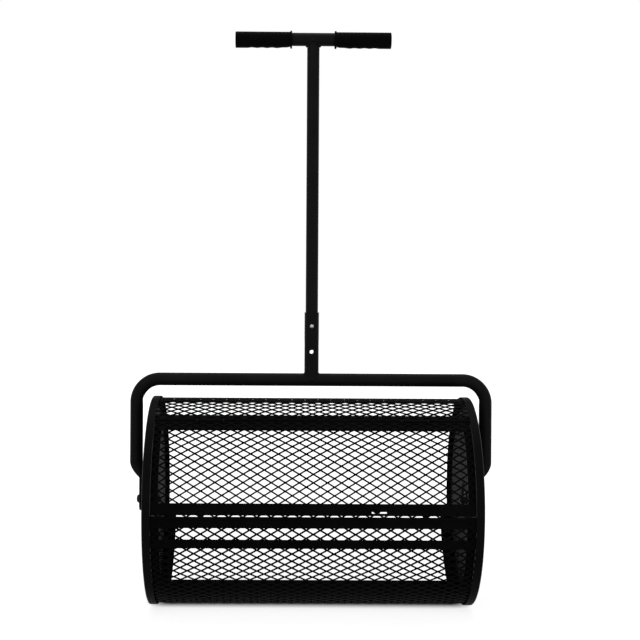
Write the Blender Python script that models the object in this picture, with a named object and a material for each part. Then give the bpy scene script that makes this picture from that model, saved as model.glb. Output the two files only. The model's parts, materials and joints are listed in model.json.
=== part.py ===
# Rolling compost spreader: a mesh drum between two pan-shaped end caps, turning on two axle
# bolts in a bent tube yoke, pushed by a telescoping T-handle.
# Metres, +Z up, +X to the right along the axle, the front of the drum at -Y.
# Angles round the axle are in degrees, 0 at the front and 90 at the top.

import math

import bmesh
import bpy
from mathutils import Vector

# Driving dimensions of the drum
DRUM_LENGTH = 0.6145
FLANGE_RADIUS = 0.200
SHEET = 0.002
LIP_WIDTH = 0.015
MESH_OUTER = 0.1972
MESH_INNER = 0.1954
AXLE_HEIGHT = FLANGE_RADIUS

# End caps: how far the pan and the hub lie behind the rim, and their radii
PAN_SINK = 0.0055
PAN_RADIUS = 0.1780
PAN_SLOPE = 0.0080
HUB_SINK = 0.0020
HUB_RADIUS = 0.0340
HUB_SLOPE = 0.0060
HUB_BORE = 0.0105

# Longitudinal flat bars, which lie just inside the mesh
BAR_OUTER = 0.1946
BAR_THICK = 0.0030
BAR_WIDTH = 0.0205
DOOR_BOTTOM_WIDTH = 0.0214
THIN_BAR_WIDTH = 0.0168
SEAM_PLATE_THICK = 0.0015
STRIP_OUTER = 0.1904
STRIP_THICK = 0.0025

# Angles round the drum of the bars, and of the bent plate under the mesh's joint
HINGE_RAIL_ANGLE = 58.37
HINGE_ANGLE = 55.15
DOOR_TOP_ANGLE = 51.88
DOOR_BOTTOM_ANGLE = 2.87
LATCH_RAIL_ANGLE = -4.12
STIFFENER_ANGLE = -16.14
SEAM_PLATE_START = -86.0
SEAM_PLATE_END = -115.1
REAR_LOWER_ANGLE = -156.5
REAR_UPPER_ANGLE = 136.0
TOP_BAR_ANGLE = 84.0

# Half the angle that a flat bar spans, and where the strips inside the end caps' lips end
BAR_SPAN = 2.7
RIM_STRIP_END = -161.0

# Door and mesh panels
DOOR_HALF = DRUM_LENGTH / 2 - LIP_WIDTH - 0.0015
DOOR_MESH_START = -2.4
DOOR_MESH_END = 54.0
DRUM_MESH_START = 56.3
DRUM_MESH_END = 356.9
MESH_HALF = 0.3034
SIDE_BAR_WIDTH = 0.0120
RIM_STRIP_WIDTH = 0.0155

# Openings of the expanded mesh, in half pitches: the panels carry a coarse lattice of the
# same proportions as the real one, whose pitch is 25 mm by 15.5 mm
HALF_COLUMNS = 14
DRUM_HALF_ROWS = 36
DOOR_HALF_ROWS = 7
OPENING_LENGTH = 0.84
OPENING_HEIGHT = 0.90

# Yoke
YOKE_TUBE_RADIUS = 0.0125
YOKE_BORE_RADIUS = 0.0110
VENT_RADIUS = 0.0040
YOKE_HALF_WIDTH = 0.352
YOKE_TOP = 0.4330
YOKE_BEND_RADIUS = 0.0450
PLATE_THICK = 0.0055
PLATE_HALF_WIDTH = 0.0185
PLATE_TOP = 0.2432
PLATE_BOTTOM = 0.1775
FULL_TUBE_FROM = 0.2725
TAPER_POWER = 1.8

# Axle bolts, M8 with button heads, and their nuts. The hub's face carries the bushes.
HUB_FACE = DRUM_LENGTH / 2 - HUB_SINK
BOLT_RADIUS = 0.0040
BOLT_TIP = HUB_FACE - 0.0150
HEAD_START = 0.3347
HEAD_END = 0.3380
HEAD_RADIUS = 0.0074
HEAD_TOP_RADIUS = 0.0038
KEY_FLATS = 0.0050
KEY_DEPTH = 0.0018
NUT_FLATS = 0.0130
PLATE_HOLE_RADIUS = 0.0044

# Handle
SOCKET_TOP = 0.5640
SOCKET_OUTER = 0.0140
SOCKET_INNER = 0.0123
POLE_OUTER = 0.0120
POLE_INNER = 0.0104
POLE_BOTTOM = 0.5200
UPPER_HOLE = 0.5372
HOLE_SPACING = 0.0500
HOLE_RADIUS = 0.0040
BUTTON_RADIUS = 0.0035
BUTTON_PROUD = 0.0018
T_BAR_HEIGHT = 1.0956
T_BAR_OUTER = 0.0127
T_BAR_INNER = 0.0112
T_BAR_HALF = 0.1495
GRIP_START = 0.0415
GRIP_END = 0.1515
GRIP_RADIUS = 0.0156
GRIP_DROP = 0.0013
GRIP_FLANGE_RADIUS = 0.0172
GRIP_END_WALL = 0.0016
GRIP_CHAMFER = 0.0012
FINGER_LENGTH = 0.0195
FINGER_DEPTH = 0.0010
LAST_FINGER = 0.0877
NECK_LENGTH = 0.0240
NECK_RISE = 0.0024

# The gap left between two pieces that touch or are welded on the real one
TOUCH = 0.0003


for old in list(bpy.data.objects):
    bpy.data.objects.remove(old, do_unlink=True)


def make_material(name, colour, roughness, metallic):
    made = bpy.data.materials.new(name)
    made.use_nodes = True
    shader = made.node_tree.nodes["Principled BSDF"]
    shader.inputs["Base Color"].default_value = (*colour, 1)
    shader.inputs["Roughness"].default_value = roughness
    shader.inputs["Metallic"].default_value = metallic
    return made


def powder_coat(name):
    return make_material(name + "_coat", (0.011, 0.011, 0.012), 0.42, 0.0)


def dark_zinc(name):
    return make_material(name + "_zinc", (0.045, 0.045, 0.050), 0.38, 0.9)


def bright_steel(name):
    return make_material(name + "_steel", (0.42, 0.42, 0.44), 0.32, 1.0)


def black_rubber(name):
    return make_material(name + "_rubber", (0.004, 0.004, 0.004), 0.72, 0.0)


def black_nylon(name):
    return make_material(name + "_nylon", (0.008, 0.008, 0.008), 0.55, 0.0)


def axis_empty(name, location):
    empty = bpy.data.objects.new(name, None)
    empty.location = location
    bpy.context.collection.objects.link(empty)
    return empty


def add_object(name, mesh_data, material, carrier, round_piece=True):
    """Links a mesh whose points are in world coordinates, with its origin on its carrier's axis."""
    bmesh.ops.remove_doubles(mesh_data, verts=mesh_data.verts, dist=1e-7)
    bmesh.ops.recalc_face_normals(mesh_data, faces=mesh_data.faces)
    origin = carrier.location if carrier else Vector((0, 0, 0))
    bmesh.ops.translate(mesh_data, verts=mesh_data.verts, vec=-origin)
    mesh = bpy.data.meshes.new(name)
    mesh_data.to_mesh(mesh)
    mesh_data.free()
    if round_piece:
        mesh.shade_smooth()
        mesh.set_sharp_from_angle(angle=math.radians(32))
    if material:
        mesh.materials.append(material)
    made = bpy.data.objects.new(name, mesh)
    made.parent = carrier
    bpy.context.collection.objects.link(made)
    return made


def cut(target, cutter, operation="DIFFERENCE"):
    modifier = target.modifiers.new(operation.lower(), "BOOLEAN")
    modifier.operation = operation
    modifier.solver = "EXACT"
    modifier.object = cutter
    cutter.hide_render = True
    cutter.display_type = "WIRE"


def turned(profile, axis, centre, segments):
    """Turns (along, radius) points about an axis through centre. A closed profile gives a ring."""
    along = {"X": Vector((1, 0, 0)), "Y": Vector((0, 1, 0)), "Z": Vector((0, 0, 1))}[axis]
    out = {"X": Vector((0, 0, 1)), "Y": Vector((0, 0, 1)), "Z": Vector((1, 0, 0))}[axis]
    centre = Vector(centre)
    data = bmesh.new()
    corners = [data.verts.new(centre + along * u + out * r) for u, r in profile]
    edges = [data.edges.new(pair) for pair in zip(corners, corners[1:])]
    if profile[0][1] > 0:
        edges.append(data.edges.new((corners[-1], corners[0])))
    bmesh.ops.spin(
        data,
        geom=corners + edges,
        cent=centre,
        axis=along,
        angle=math.tau,
        steps=segments,
        use_merge=True,
        use_duplicate=False,
    )
    bmesh.ops.remove_doubles(data, verts=data.verts, dist=1e-6)
    return data


def tube_profile(start, end, outer, inner):
    return [(start, inner), (start, outer), (end, outer), (end, inner)]


def rod_profile(start, end, radius, chamfer=0.0):
    if chamfer == 0:
        return [(start, 0), (start, radius), (end, radius), (end, 0)]
    return [
        (start, 0),
        (start, radius - chamfer),
        (start + chamfer, radius),
        (end - chamfer, radius),
        (end, radius - chamfer),
        (end, 0),
    ]


def round_drum(x, angle, radius, shift=0.0):
    """A point at an angle and radius round the axle, moved along the tangent by shift."""
    t = math.radians(angle)
    y = -radius * math.cos(t) + shift * math.sin(t)
    z = AXLE_HEIGHT + radius * math.sin(t) + shift * math.cos(t)
    return Vector((x, y, z))


def prism(outline, lift, bottom, top):
    """Extrudes a closed outline between two levels; lift places (a, b, level) in the world."""
    data = bmesh.new()
    base = data.faces.new([data.verts.new(lift(a, b, bottom)) for a, b in outline])
    grown = bmesh.ops.extrude_face_region(data, geom=[base])
    risen = [item for item in grown["geom"] if isinstance(item, bmesh.types.BMVert)]
    centre = outline[0]
    rise = lift(centre[0], centre[1], top) - lift(centre[0], centre[1], bottom)
    bmesh.ops.translate(data, verts=risen, vec=rise)
    return data


def chamfered(half_a, half_b, chamfer):
    """A rectangle with cut corners, as (a, b) points."""
    return [
        (half_a, -half_b + chamfer),
        (half_a, half_b - chamfer),
        (half_a - chamfer, half_b),
        (-half_a + chamfer, half_b),
        (-half_a, half_b - chamfer),
        (-half_a, -half_b + chamfer),
        (-half_a + chamfer, -half_b),
        (half_a - chamfer, -half_b),
    ]


def long_bar(name, angle, width, half_length, carrier):
    """A flat bar along the axle whose outer corners lie just inside the mesh."""
    outer = math.sqrt(BAR_OUTER**2 - (width / 2) ** 2)
    middle = outer - BAR_THICK / 2
    data = prism(
        chamfered(width / 2, BAR_THICK / 2, 0.0006),
        lambda shift, rise, x: round_drum(x, angle, middle + rise, shift),
        -half_length,
        half_length,
    )
    return add_object(name, data, powder_coat(name), carrier, False)


def arc_bar(
    name, x_from, x_to, start, end, steps, carrier, outer=STRIP_OUTER, thick=STRIP_THICK
):
    """A flat strip bent round the drum, between two angles."""
    data = bmesh.new()
    rings = []
    for step in range(steps + 1):
        angle = start + (end - start) * step / steps
        ring = []
        for x, radius in (
            (x_from, outer),
            (x_to, outer),
            (x_to, outer - thick),
            (x_from, outer - thick),
        ):
            ring.append(data.verts.new(round_drum(x, angle, radius)))
        rings.append(ring)
    close_rings(data, rings)
    return add_object(name, data, powder_coat(name), carrier)


def close_rings(data, rings):
    """Joins a row of equal rings into one closed body."""
    count = len(rings[0])
    for ring, following in zip(rings, rings[1:]):
        for k in range(count):
            after = (k + 1) % count
            data.faces.new((ring[k], ring[after], following[after], following[k]))
    data.faces.new(list(reversed(rings[0])))
    data.faces.new(rings[-1])


def lattice_panel(name, half_rows, half_length, start, end, carrier):
    """A bent panel of expanded metal. Openings sit on every second point of a grid, so that each
    row is set half an opening along from the next, and strands run between neighbours."""
    half_columns = HALF_COLUMNS
    step_x = 2 * half_length / half_columns
    step_angle = (end - start) / half_rows
    places = []
    index = {}
    sides = {"right": (1, 0), "left": (-1, 0), "up": (0, 1), "down": (0, -1), "corner": (0, 0)}

    def corner(i, j, side):
        if (i, j, side) not in index:
            along, around = sides[side]
            x = -half_length + step_x * (i + OPENING_LENGTH * along)
            angle = start + step_angle * (j + OPENING_HEIGHT * around)
            index[(i, j, side)] = len(places)
            places.append((x, angle))
        return index[(i, j, side)]

    def strand(i, j):
        if (i + j) % 2 == 0:
            return [
                corner(i, j, "right"),
                corner(i + 1, j + 1, "down"),
                corner(i + 1, j + 1, "left"),
                corner(i, j, "up"),
            ]
        return [
            corner(i + 1, j, "left"),
            corner(i + 1, j, "up"),
            corner(i, j + 1, "right"),
            corner(i, j + 1, "down"),
        ]

    def bond(i, j):
        ring = []
        if i < half_columns:
            ring.append(corner(i + 1, j, "left"))
        if j < half_rows:
            ring.append(corner(i, j + 1, "down"))
        if i > 0:
            ring.append(corner(i - 1, j, "right"))
        if j > 0:
            ring.append(corner(i, j - 1, "up"))
        if len(ring) == 2:
            ring.append(corner(i, j, "corner"))
            if i == 0 and j == half_rows:
                ring.reverse()
        return ring

    loops = [strand(i, j) for i in range(half_columns) for j in range(half_rows)]
    for i in range(half_columns + 1):
        loops += [bond(i, j) for j in range(half_rows + 1) if (i + j) % 2 == 1]
    data = bmesh.new()
    outer = [data.verts.new(round_drum(x, angle, MESH_OUTER)) for x, angle in places]
    inner = [data.verts.new(round_drum(x, angle, MESH_INNER)) for x, angle in places]
    used = set()
    for loop in loops:
        used.update(zip(loop, loop[1:] + loop[:1]))
        data.faces.new([outer[k] for k in loop])
        data.faces.new([inner[k] for k in reversed(loop)])
    for first, second in used:
        if (second, first) not in used:
            data.faces.new((outer[second], outer[first], inner[first], inner[second]))
    return add_object(name, data, powder_coat(name), carrier)


def end_cap(side, name, carrier):
    """A pressed pan: a lip over the mesh's end, a flat rim, a sunk disc and a raised hub."""
    face = DRUM_LENGTH / 2
    sunk = face - PAN_SINK
    hub = face - HUB_SINK
    lip_inner = FLANGE_RADIUS - SHEET
    corner = 2 * SHEET
    slant = 0.0008
    profile = [
        (face - LIP_WIDTH, lip_inner),
        (face - LIP_WIDTH, FLANGE_RADIUS),
        (face - corner, FLANGE_RADIUS),
        (face - 0.3 * corner, FLANGE_RADIUS - 0.3 * corner),
        (face, FLANGE_RADIUS - corner),
        (face, PAN_RADIUS + PAN_SLOPE),
        (sunk, PAN_RADIUS),
        (sunk, HUB_RADIUS + HUB_SLOPE),
        (hub, HUB_RADIUS),
        (hub, HUB_BORE),
        (hub - SHEET, HUB_BORE),
        (hub - SHEET, HUB_RADIUS - slant),
        (sunk - SHEET, HUB_RADIUS + HUB_SLOPE - slant),
        (sunk - SHEET, PAN_RADIUS + slant),
        (face - SHEET, PAN_RADIUS + PAN_SLOPE + slant),
        (face - SHEET, lip_inner - SHEET),
        (face - SHEET - corner / 3, lip_inner),
    ]
    data = turned([(side * u, r) for u, r in profile], "X", (0, 0, AXLE_HEIGHT), 48)
    return add_object(name, data, powder_coat(name), carrier)


def button_bolt(side, name, carrier):
    """The axle bolt: a domed head outside the yoke and a shank that ends inside the drum."""
    profile = [
        (BOLT_TIP, 0),
        (BOLT_TIP, BOLT_RADIUS - 0.0006),
        (BOLT_TIP + 0.0006, BOLT_RADIUS),
        (HEAD_START, BOLT_RADIUS),
        (HEAD_START, HEAD_RADIUS),
    ]
    steps = 5
    for step in range(1, steps + 1):
        a = math.pi / 2 * step / steps
        u = HEAD_START + (HEAD_END - HEAD_START) * math.sin(a)
        profile.append((u, HEAD_TOP_RADIUS + (HEAD_RADIUS - HEAD_TOP_RADIUS) * math.cos(a)))
    profile.append((HEAD_END, 0))
    data = turned([(side * u, r) for u, r in profile], "X", (0, 0, AXLE_HEIGHT), 24)
    bolt = add_object(name, data, dark_zinc(name), carrier)
    cutter_name = name + "_key_cutter"
    start, end = HEAD_END - KEY_DEPTH, HEAD_END + 0.005
    cut(bolt, hexagon_block(cutter_name, side, start, end, KEY_FLATS, carrier))


def hexagon_block(name, side, start, end, across_flats, carrier):
    corner = across_flats / math.sqrt(3)
    outline = [
        (corner * math.cos(math.radians(60 * k)), corner * math.sin(math.radians(60 * k)))
        for k in range(6)
    ]
    data = prism(
        outline,
        lambda y, z, u: Vector((side * u, y, AXLE_HEIGHT + z)),
        start,
        end,
    )
    return add_object(name, data, dark_zinc(name), carrier, False)


def axle_ring(name, side, start, end, outer, inner, material, carrier, segments=24):
    profile = [(side * u, r) for u, r in tube_profile(start, end, outer, inner)]
    data = turned(profile, "X", (0, 0, AXLE_HEIGHT), segments)
    return add_object(name, data, material, carrier)


def yoke_ring(data, centre, along, thick, wide, squareness, sides=18):
    """One cross-section of the yoke: thick lies across the tube in its plane, wide along Y."""
    across = Vector((along.z, 0, -along.x))
    points = []
    for k in range(sides):
        a = math.tau * k / sides
        c, s = math.cos(a), math.sin(a)
        u = math.copysign(abs(c) ** (2 / squareness), c) * thick
        v = math.copysign(abs(s) ** (2 / squareness), s) * wide
        points.append(data.verts.new(centre + across * u + Vector((0, v, 0))))
    return points


def yoke_stations():
    """Half of the yoke from the left plate's foot to the middle of the crossbar."""
    tube_x = YOKE_HALF_WIDTH - YOKE_TUBE_RADIUS
    inner_face = YOKE_HALF_WIDTH - 2 * YOKE_TUBE_RADIUS
    plate_x = inner_face + PLATE_THICK / 2
    up = Vector((0, 0, 1))
    stations = []
    foot_radius = AXLE_HEIGHT - PLATE_BOTTOM
    for share in (0.02, 0.10, 0.25, 0.50, 0.80, 1.0):
        z = PLATE_BOTTOM + foot_radius * share
        reach = math.sqrt(max(foot_radius**2 - (AXLE_HEIGHT - z) ** 2, 0))
        wide = min(reach, PLATE_HALF_WIDTH)
        stations.append((Vector((-plate_x, 0, z)), up, PLATE_THICK / 2, wide, 5.0))
    stations.append((Vector((-plate_x, 0, PLATE_TOP)), up, PLATE_THICK / 2, PLATE_HALF_WIDTH, 5.0))
    for step in range(1, 7):
        share = step / 6
        ease = share * share * (3 - 2 * share)
        swell = 1 - (1 - share) ** TAPER_POWER
        thick = PLATE_THICK / 2 + (YOKE_TUBE_RADIUS - PLATE_THICK / 2) * swell
        wide = PLATE_HALF_WIDTH + (YOKE_TUBE_RADIUS - PLATE_HALF_WIDTH) * ease
        z = PLATE_TOP + (FULL_TUBE_FROM - PLATE_TOP) * share
        squareness = 5.0 - 3.0 * ease
        stations.append((Vector((-(inner_face + thick), 0, z)), up, thick, wide, squareness))
    for spot, along in bend_stations():
        stations.append((spot, along, YOKE_TUBE_RADIUS, YOKE_TUBE_RADIUS, 2.0))
    return stations


def bend_stations():
    """Centres and directions along the left bend, from the leg to the crossbar."""
    centre_x = YOKE_BEND_RADIUS + YOKE_TUBE_RADIUS - YOKE_HALF_WIDTH
    bend_centre = Vector((centre_x, 0, YOKE_TOP - YOKE_BEND_RADIUS))
    steps = 8
    stations = []
    for step in range(steps + 1):
        a = math.radians(90 * step / steps)
        spot = bend_centre + YOKE_BEND_RADIUS * Vector((-math.cos(a), 0, math.sin(a)))
        stations.append((spot, Vector((math.sin(a), 0, math.cos(a)))))
    return stations


def both_halves(half):
    """The left half of the yoke's stations, followed by their mirror images."""
    mirrored = [
        (Vector((-c.x, 0, c.z)), Vector((d.x, 0, -d.z)), *rest) for c, d, *rest in reversed(half)
    ]
    return half + mirrored


def yoke_body(name, carrier):
    """A bent tube with flattened ends. Its bore is open to the socket through a vent hole."""
    data = bmesh.new()
    close_rings(data, [yoke_ring(data, *station) for station in both_halves(yoke_stations())])
    yoke = add_object(name, data, powder_coat(name), carrier)
    bore_foot = Vector((YOKE_TUBE_RADIUS - YOKE_HALF_WIDTH, 0, FULL_TUBE_FROM + 0.010))
    bore_half = [(bore_foot, Vector((0, 0, 1)))] + bend_stations()
    bore_data = bmesh.new()
    bore_rings = [
        yoke_ring(bore_data, spot, along, YOKE_BORE_RADIUS, YOKE_BORE_RADIUS, 2.0, 12)
        for spot, along in both_halves(bore_half)
    ]
    close_rings(bore_data, bore_rings)
    cut(yoke, add_object("yoke_bore_cutter", bore_data, None, carrier))
    vent = turned(rod_profile(YOKE_TOP, YOKE_TOP + 0.020, VENT_RADIUS), "Z", (0, 0, 0), 12)
    cut(yoke, add_object("yoke_vent_cutter", vent, None, carrier))
    hole_profile = rod_profile(-0.36, 0.36, PLATE_HOLE_RADIUS)
    hole = turned(hole_profile, "X", (0, 0, AXLE_HEIGHT), 16)
    cut(yoke, add_object("axle_hole_cutter", hole, None, carrier))


def grip_outline(along, segments):
    """The grip's section at a distance from its inner end: round, with finger waves below."""
    dent = 0.0
    if along < LAST_FINGER:
        dent = FINGER_DEPTH / 2 * (1 + math.cos(math.tau * along / FINGER_LENGTH))
    neck = max(1 - along / NECK_LENGTH, 0.0)
    dent += NECK_RISE * neck * neck * (3 - 2 * neck)
    points = []
    for k in range(segments):
        a = math.tau * k / segments
        radius = GRIP_RADIUS - dent * max(-math.sin(a), 0.0) ** 2
        points.append((radius * math.cos(a), radius * math.sin(a) - GRIP_DROP))
    return points


def grip(side, name, carrier):
    """A moulded sleeve, closed at its outer end, with a flange at the inner end."""
    segments = 20
    data = bmesh.new()
    rings = []

    def ring(x, points):
        rings.append(
            [data.verts.new(Vector((side * x, y, T_BAR_HEIGHT + z))) for y, z in points]
        )

    def circle(radius, drop):
        turns = [math.tau * k / segments for k in range(segments)]
        return [(radius * math.cos(a), radius * math.sin(a) - drop) for a in turns]

    bore = T_BAR_OUTER + TOUCH
    ring(GRIP_END - GRIP_END_WALL, circle(bore, 0))
    ring(GRIP_START, circle(bore, 0))
    ring(GRIP_START, circle(GRIP_FLANGE_RADIUS, GRIP_DROP / 2))
    ring(GRIP_START + 0.0032, circle(GRIP_FLANGE_RADIUS, GRIP_DROP / 2))
    ring(GRIP_START + 0.0036, grip_outline(0.004, segments))
    stations = 24
    start = 0.004
    length = GRIP_END - GRIP_START - GRIP_CHAMFER - start
    for step in range(1, stations + 1):
        along = start + length * step / stations
        ring(GRIP_START + along, grip_outline(along, segments))
    ring(GRIP_END, circle(GRIP_RADIUS - GRIP_CHAMFER, GRIP_DROP))
    close_rings(data, rings)
    return add_object(name, data, black_rubber(name), carrier)


HINGE_RADIUS = 0.1971
SIDES = ((-1, "left"), (1, "right"))
BAR_HALF = DRUM_LENGTH / 2 - SHEET - TOUCH

frame_axis = axis_empty("frame_axis", (0, 0, AXLE_HEIGHT))
drum_axis = axis_empty("drum_axis", (0, 0, AXLE_HEIGHT))
hinge_place = round_drum(0, HINGE_ANGLE, HINGE_RADIUS)
door_axis = axis_empty("door_axis", hinge_place)
latch_axis = axis_empty("latch_axis", round_drum(0, DOOR_BOTTOM_ANGLE, BAR_OUTER))
handle_axis = axis_empty("handle_axis", (0, 0, UPPER_HOLE))
button_axis = axis_empty("button_axis", (0, -POLE_OUTER, UPPER_HOLE))


# Drum: end caps, fixed mesh, bars and rim strips
for side, word in SIDES:
    end_cap(side, word + "_end_cap", drum_axis)
    strip_edge = DRUM_LENGTH / 2 - LIP_WIDTH
    arc_bar(
        word + "_rim_strip",
        side * (strip_edge - RIM_STRIP_WIDTH),
        side * strip_edge,
        LATCH_RAIL_ANGLE + BAR_SPAN,
        RIM_STRIP_END,
        20,
        drum_axis,
    )

lattice_panel(
    "drum_mesh", DRUM_HALF_ROWS, MESH_HALF, DRUM_MESH_START, DRUM_MESH_END, drum_axis
)
long_bar("hinge_rail", HINGE_RAIL_ANGLE, BAR_WIDTH, BAR_HALF, drum_axis)
long_bar("latch_rail", LATCH_RAIL_ANGLE, BAR_WIDTH, BAR_HALF, drum_axis)
long_bar("front_stiffener", STIFFENER_ANGLE, THIN_BAR_WIDTH, BAR_HALF, drum_axis)
arc_bar(
    "seam_plate",
    -BAR_HALF,
    BAR_HALF,
    SEAM_PLATE_START,
    SEAM_PLATE_END,
    12,
    drum_axis,
    BAR_OUTER,
    SEAM_PLATE_THICK,
)
long_bar("rear_lower_bar", REAR_LOWER_ANGLE, BAR_WIDTH, BAR_HALF, drum_axis)
long_bar("rear_upper_bar", REAR_UPPER_ANGLE, BAR_WIDTH, BAR_HALF, drum_axis)
long_bar("top_bar", TOP_BAR_ANGLE, BAR_WIDTH, BAR_HALF, drum_axis)

# Door: mesh, two rails and two side bars bent to the drum's radius
lattice_panel(
    "door_mesh", DOOR_HALF_ROWS, DOOR_HALF, DOOR_MESH_START, DOOR_MESH_END, door_axis
)
long_bar("door_top_rail", DOOR_TOP_ANGLE, BAR_WIDTH, DOOR_HALF, door_axis)
door_bottom_rail = long_bar(
    "door_bottom_rail", DOOR_BOTTOM_ANGLE, DOOR_BOTTOM_WIDTH, DOOR_HALF, door_axis
)
for side, word in SIDES:
    arc_bar(
        "door_" + word + "_bar",
        side * (DOOR_HALF - SIDE_BAR_WIDTH),
        side * DOOR_HALF,
        DOOR_BOTTOM_ANGLE - BAR_SPAN,
        DOOR_TOP_ANGLE + BAR_SPAN,
        8,
        door_axis,
    )

# Hinges: two pairs of barrels, each on its own pin
BARREL_RADIUS = 0.0026
BARREL_LENGTH = 0.0240
BARREL_BORE = 0.00155
BARREL_FOOT = 0.0034
PIN_RADIUS = 0.00115
PIN_HEAD_RADIUS = 0.0022
PIN_HEAD = 0.0010
HINGE_X = 0.1900


def barrel(name, start, end, toward, carrier):
    """A barrel with a foot on its own rail. toward is +1 for the drum's rail, -1 for the door's."""
    sides = 12
    outline = []
    for k in range(sides):
        a = math.tau * k / sides
        outline.append((BARREL_RADIUS * math.cos(a), BARREL_RADIUS * math.sin(a)))
    foot_level = BAR_OUTER + TOUCH - HINGE_RADIUS
    foot = (toward * BARREL_FOOT, foot_level)
    kept = [p for p in outline if p[1] > foot_level - 1e-5]
    ordered = sorted(kept, key=lambda p: math.atan2(p[1], p[0]) % math.tau)
    start_angle = math.atan2(foot[1], foot[0]) % math.tau
    after = [p for p in ordered if math.atan2(p[1], p[0]) % math.tau > start_angle]
    before = [p for p in ordered if math.atan2(p[1], p[0]) % math.tau < start_angle]
    data = prism(
        [foot] + after + before,
        lambda shift, rise, x: round_drum(x, HINGE_ANGLE, HINGE_RADIUS + rise, shift),
        start,
        end,
    )
    made = add_object(name, data, powder_coat(name), carrier)
    bore = turned(rod_profile(start - 0.01, end + 0.01, BARREL_BORE), "X", hinge_place, 12)
    bore_cutter = add_object(name + "_bore_cutter", bore, None, carrier)
    cut(made, bore_cutter)


for side, word in SIDES:
    inner = side * (HINGE_X - BARREL_LENGTH)
    outer = side * (HINGE_X + BARREL_LENGTH)
    middle = side * HINGE_X
    gap = side * TOUCH / 2
    low, high = sorted((inner, middle - gap))
    barrel(word + "_door_barrel", low, high, -1, door_axis)
    low, high = sorted((middle + gap, outer))
    barrel(word + "_drum_barrel", low, high, 1, drum_axis)
    pin_start = inner - side * TOUCH
    pin_end = outer + side * TOUCH
    pin_profile = [
        (pin_start - side * PIN_HEAD, 0),
        (pin_start - side * PIN_HEAD, PIN_HEAD_RADIUS),
        (pin_start, PIN_HEAD_RADIUS),
        (pin_start, PIN_RADIUS),
        (pin_end, PIN_RADIUS),
        (pin_end, PIN_HEAD_RADIUS),
        (pin_end + side * PIN_HEAD, PIN_HEAD_RADIUS),
        (pin_end + side * PIN_HEAD, 0),
    ]
    add_object(
        word + "_hinge_pin",
        turned(pin_profile, "X", hinge_place, 10),
        dark_zinc(word + "_hinge_pin"),
        drum_axis,
    )

# Latch: a flat bar that slides behind the door's bottom rail and hooks behind two keepers
LATCH_ANGLE = 3.80
LATCH_OUTER = 0.1878
LATCH_THICK = 0.0020
LATCH_HALF_LENGTH = 0.2220
LATCH_HALF_HEIGHT = 0.0040
LATCH_TRAVEL = 0.0120
HOOK_X = 0.2010
HOOK_HALF = 0.0045
HOOK_DROP = 0.0108
KEEPER_OUTER = 0.1905
KEEPER_LOW = 0.0140
KEEPER_HIGH = 0.0073
TAB_X = 0.1142
TAB_HALF = 0.0048
TAB_LOW = 0.0090
TAB_HIGH = 0.0070
TAB_FRONT = BAR_OUTER + 0.0002
SLOT_LEFT = 0.1045
SLOT_RIGHT = 0.1315
SLOT_LOW = 0.0095
SLOT_HIGH = 0.0065


def on_latch(x, shift, radius):
    return round_drum(x, LATCH_ANGLE, radius, shift)


def rectangle(left, right, low, high):
    return [(left, low), (right, low), (right, high), (left, high)]


def latch_plate(name, left, right, low, high):
    """A flat piece of the latch, as thick as its bar."""
    data = prism(
        rectangle(left, right, low, high), on_latch, LATCH_OUTER - LATCH_THICK, LATCH_OUTER
    )
    add_object(name, data, dark_zinc(name), latch_axis, False)


# The latch is drawn slid open, so its hooks stand one travel to the left of the keepers
latch_middle = -LATCH_TRAVEL / 2
latch_plate(
    "latch_bar",
    latch_middle - LATCH_HALF_LENGTH,
    latch_middle + LATCH_HALF_LENGTH,
    -LATCH_HALF_HEIGHT,
    LATCH_HALF_HEIGHT,
)
HOOK_TOP = -LATCH_HALF_HEIGHT - TOUCH
for side, word in SIDES:
    middle = side * HOOK_X - LATCH_TRAVEL
    latch_plate(
        word + "_latch_hook", middle - HOOK_HALF, middle + HOOK_HALF, -HOOK_DROP, HOOK_TOP
    )
tab_back = LATCH_OUTER - LATCH_THICK
tab_section = [
    (HOOK_TOP, tab_back),
    (HOOK_TOP, LATCH_OUTER),
    (-TAB_HIGH, LATCH_OUTER),
    (-TAB_HIGH, TAB_FRONT),
    (-TAB_LOW, TAB_FRONT),
    (-TAB_LOW, tab_back),
]
add_object(
    "latch_tab",
    prism(
        tab_section,
        lambda shift, radius, x: on_latch(x, shift, radius),
        TAB_X - TAB_HALF,
        TAB_X + TAB_HALF,
    ),
    dark_zinc("latch_tab"),
    latch_axis,
    False,
)

slot_outline = rectangle(SLOT_LEFT, SLOT_RIGHT, -SLOT_LOW, -SLOT_HIGH)
slot_cutter = add_object(
    "latch_slot_cutter",
    prism(slot_outline, on_latch, BAR_OUTER - 0.010, BAR_OUTER + 0.005),
    None,
    door_axis,
    False,
)
cut(door_bottom_rail, slot_cutter)

GUIDE_X = 0.1500
GUIDE_HALF = 0.0070
GUIDE_WALL = 0.0020
GUIDE_PLAY = 0.0004
GUIDE_TOP = 0.1909


def latch_guide(name, middle):
    """A staple over the latch bar, welded to the rail by its two legs."""
    reach = LATCH_HALF_HEIGHT + GUIDE_PLAY
    back = LATCH_OUTER - LATCH_THICK - GUIDE_PLAY
    outline = [
        (reach + GUIDE_WALL, GUIDE_TOP),
        (reach, GUIDE_TOP),
        (reach, back),
        (-reach, back),
        (-reach, GUIDE_TOP),
        (-reach - GUIDE_WALL, GUIDE_TOP),
        (-reach - GUIDE_WALL, back - GUIDE_WALL),
        (reach + GUIDE_WALL, back - GUIDE_WALL),
    ]
    data = prism(
        outline,
        lambda shift, radius, x: on_latch(x, shift, radius),
        middle - GUIDE_HALF,
        middle + GUIDE_HALF,
    )
    add_object(name, data, powder_coat(name), door_axis, False)


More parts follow.
